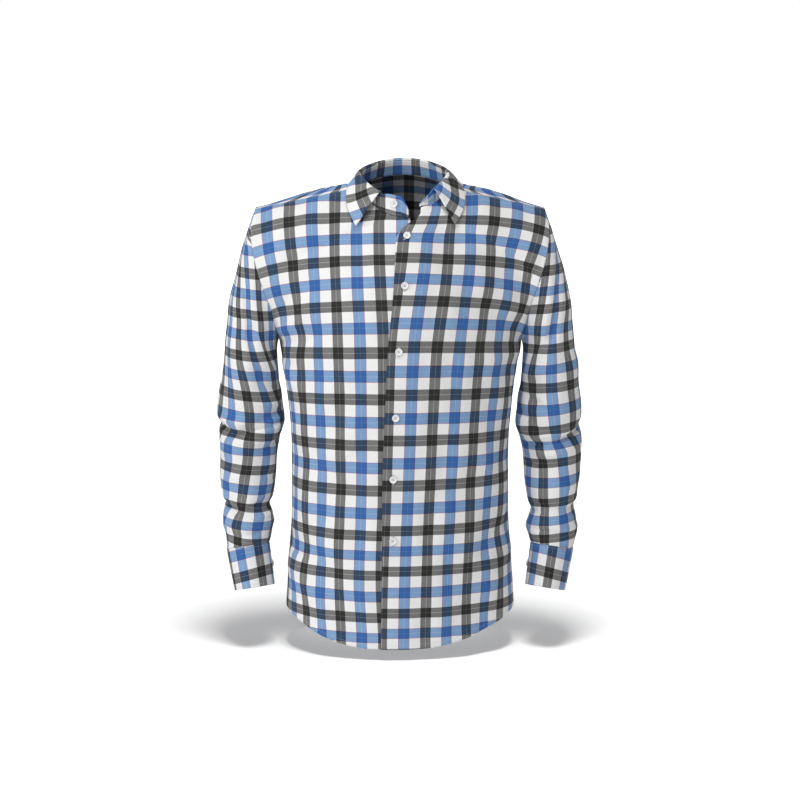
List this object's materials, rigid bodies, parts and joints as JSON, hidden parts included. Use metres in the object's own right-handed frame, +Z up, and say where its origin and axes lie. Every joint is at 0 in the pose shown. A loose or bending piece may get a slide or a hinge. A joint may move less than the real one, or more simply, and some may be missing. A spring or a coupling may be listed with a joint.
{
  "type": "oxford shirt",
  "caption": "Long-sleeved button-front check shirt with a point collar on a stand, lapped front, back yoke, curved hem and buttoned cuffs, filled out hollow with no wearer.",
  "frame": {"origin": "middle of the neck base, level with the points where the shoulders meet the neck, where a wearer's neck and shoulders hold the shirt up", "axes": "+Z up, the front of the shirt faces -Y, +X is the wearer's left"},
  "size_m": [0.5825, 0.2742, 0.7729],
  "materials": {
    "front_cloth": "matte woven cotton",
    "back_cloth": "matte woven cotton",
    "yoke_cloth": "matte woven cotton",
    "sleeve_cloth": "matte woven cotton",
    "cuff_cloth": "matte woven cotton",
    "placket_cloth": "matte woven cotton",
    "collar_cloth": "matte woven cotton",
    "button_plastic": "polished"
  },
  "bodies": {
    "root": {"front_right": "front_cloth", "front_left": "front_cloth", "back": "back_cloth", "yoke": "yoke_cloth", "sleeve_right": "sleeve_cloth", "sleeve_left": "sleeve_cloth", "cuff_right": "cuff_cloth", "cuff_left": "cuff_cloth", "sleeve_placket_right": "placket_cloth", "sleeve_placket_left": "placket_cloth", "collar_stand": "collar_cloth", "collar_leaf": "collar_cloth", "button_collar": "button_plastic", "button_front_1": "button_plastic", "button_front_2": "button_plastic", "button_front_3": "button_plastic", "button_front_4": "button_plastic", "button_front_5": "button_plastic", "button_front_6": "button_plastic", "button_cuff_right": "button_plastic", "button_cuff_left": "button_plastic"}
  },
  "joints": []
}
